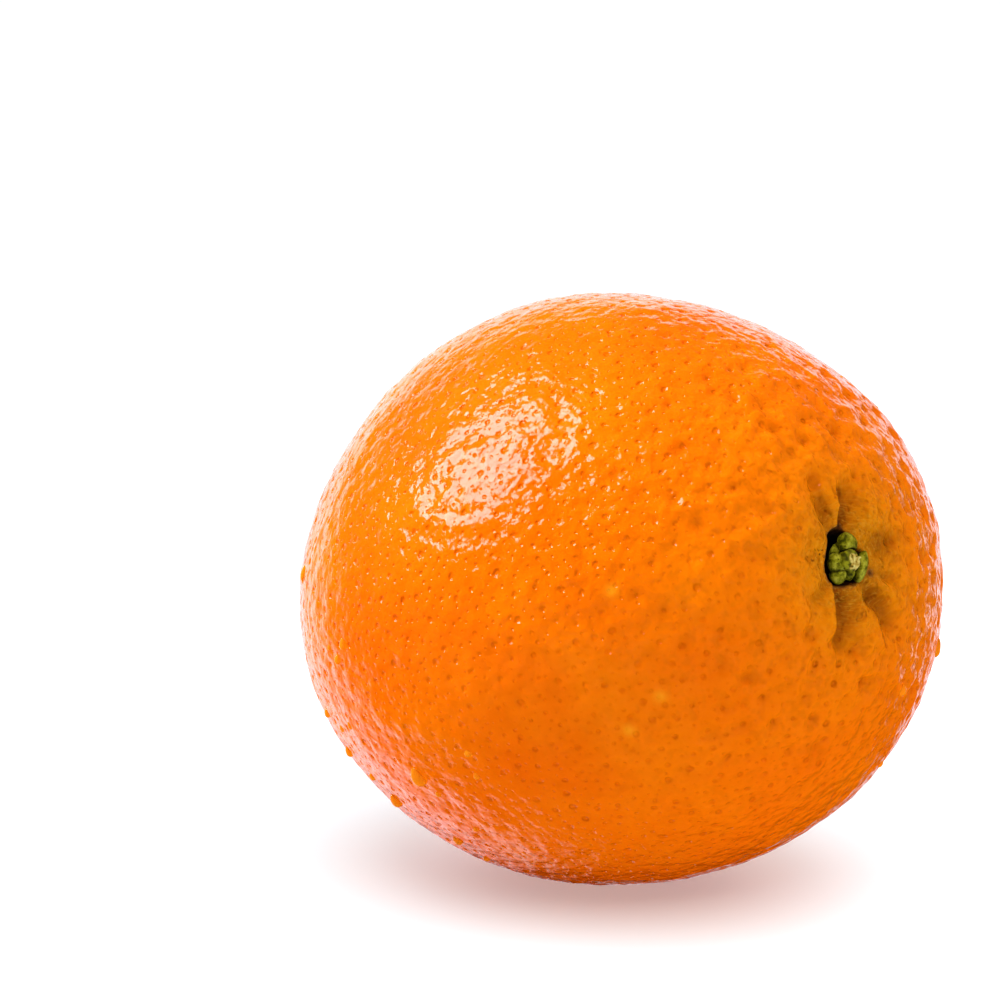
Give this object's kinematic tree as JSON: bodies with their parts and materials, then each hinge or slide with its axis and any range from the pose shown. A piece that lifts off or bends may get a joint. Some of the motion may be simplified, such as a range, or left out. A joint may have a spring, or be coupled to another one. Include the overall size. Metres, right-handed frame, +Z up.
{
  "type": "orange",
  "caption": "Whole navel orange with its green calyx button and torn stem stub, lying on its side on a small flat spot.",
  "frame": {"origin": "middle of the fruit's outline, on the surface that it rests on", "axes": "+Z up, +X along the fruit's length towards its stem end, seen from above"},
  "size_m": [0.0878, 0.0794, 0.078],
  "materials": {
    "orange_peel": "waxy, finely pitted citrus peel",
    "green_calyx": "dull olive green, speckled",
    "torn_stem": "pale torn plant fibre",
    "water": "clear drops of water"
  },
  "bodies": {
    "root": {"fruit": "orange_peel", "calyx": "green_calyx", "stem_stub": "torn_stem"}
  },
  "joints": []
}
